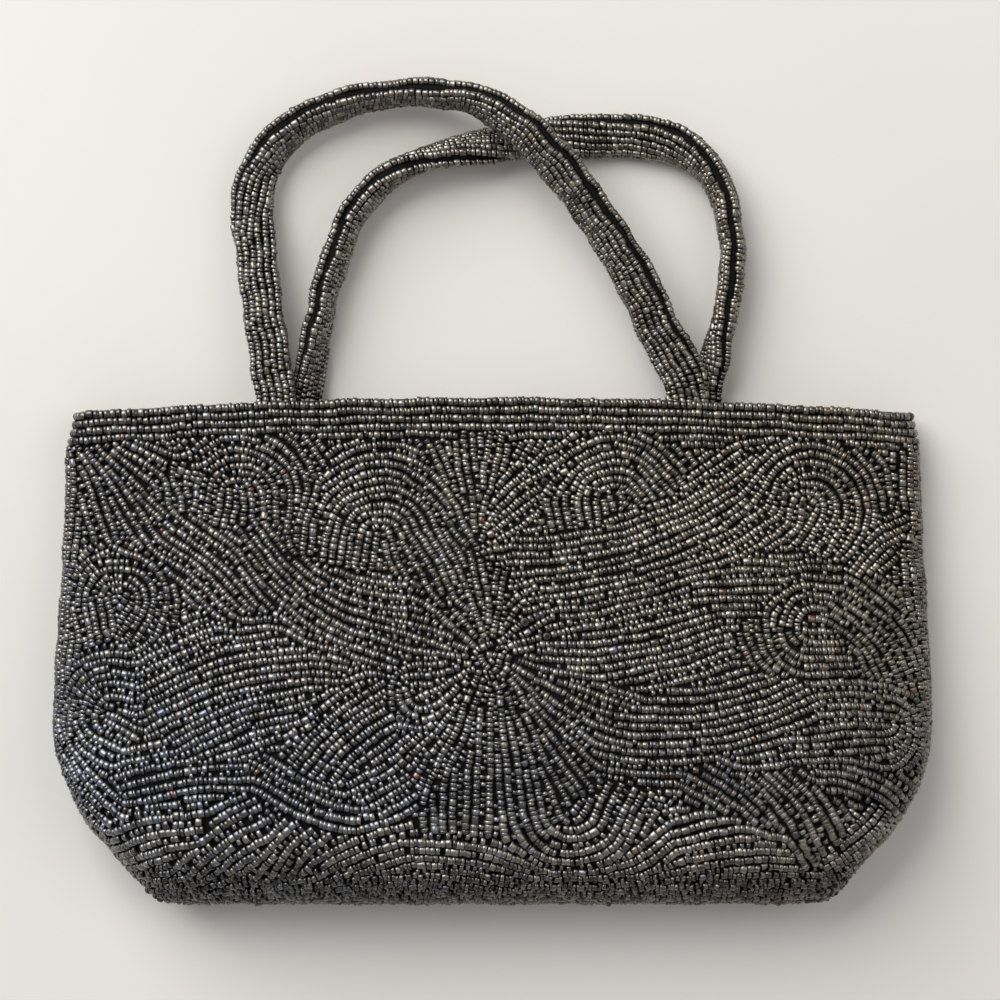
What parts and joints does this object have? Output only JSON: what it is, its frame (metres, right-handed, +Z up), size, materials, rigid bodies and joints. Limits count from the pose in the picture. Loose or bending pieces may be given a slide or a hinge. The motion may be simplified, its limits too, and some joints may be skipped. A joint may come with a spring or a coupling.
{
  "type": "beaded handbag",
  "caption": "Soft boxed evening bag covered in gunmetal seed beads, lying on its back, with crossed beaded tube handles and a snap at the mouth.",
  "frame": {"origin": "on the surface that the bag lies on, under the middle of the whole bag with its handles laid out", "axes": "+X to the bag's right as it lies, +Y from the base to the mouth and handles, +Z up, out of the front panel"},
  "size_m": [0.2396, 0.2246, 0.038],
  "materials": {
    "beads": "opaque gunmetal-lustre seed beads on black cloth",
    "satin": "black satin lining",
    "ribbon": "black ribbed ribbon",
    "padding": "bonded interlining",
    "card": "plain stiffener card",
    "cord": "soft piping cord",
    "metal": "nickel-plated"
  },
  "bodies": {
    "bag": {"back_panel": "beads", "back_interlining": "padding", "back_lining": "satin", "back_facing": "ribbon", "left_side_panel": "beads", "left_side_lining": "satin", "right_side_panel": "beads", "right_side_lining": "satin", "base_panel": "beads", "base_board": "card", "base_lining": "satin", "slip_pocket": "satin", "snap_socket": "metal", "snap_socket_washer": "metal", "back_left_handle_tab": "ribbon", "back_right_handle_tab": "ribbon"},
    "front": {"front_panel": "beads", "front_interlining": "padding", "front_lining": "satin", "front_facing": "ribbon", "snap_stud": "metal", "snap_stud_washer": "metal", "front_left_handle_tab": "ribbon", "front_right_handle_tab": "ribbon"},
    "front_handle": {"front_handle_cover": "beads", "front_handle_core": "cord"},
    "back_handle": {"back_handle_cover": "beads", "back_handle_core": "cord"}
  },
  "joints": [
    {"name": "mouth_opening", "type": "hinge", "parent": "bag", "child": "front", "pos_m": [0, -0.08314, 0.038], "axis": [1, 0, 0], "range_deg": [0, 25]},
    {"name": "front_handle_swing", "type": "hinge", "parent": "front", "child": "front_handle", "pos_m": [0, 0.02401, 0.0153], "axis": [1, 0, 0], "range_deg": [0, 150]},
    {"name": "back_handle_swing", "type": "hinge", "parent": "bag", "child": "back_handle", "pos_m": [0, 0.02401, -0.0005], "axis": [-1, 0, 0], "range_deg": [0, 160]}
  ]
}
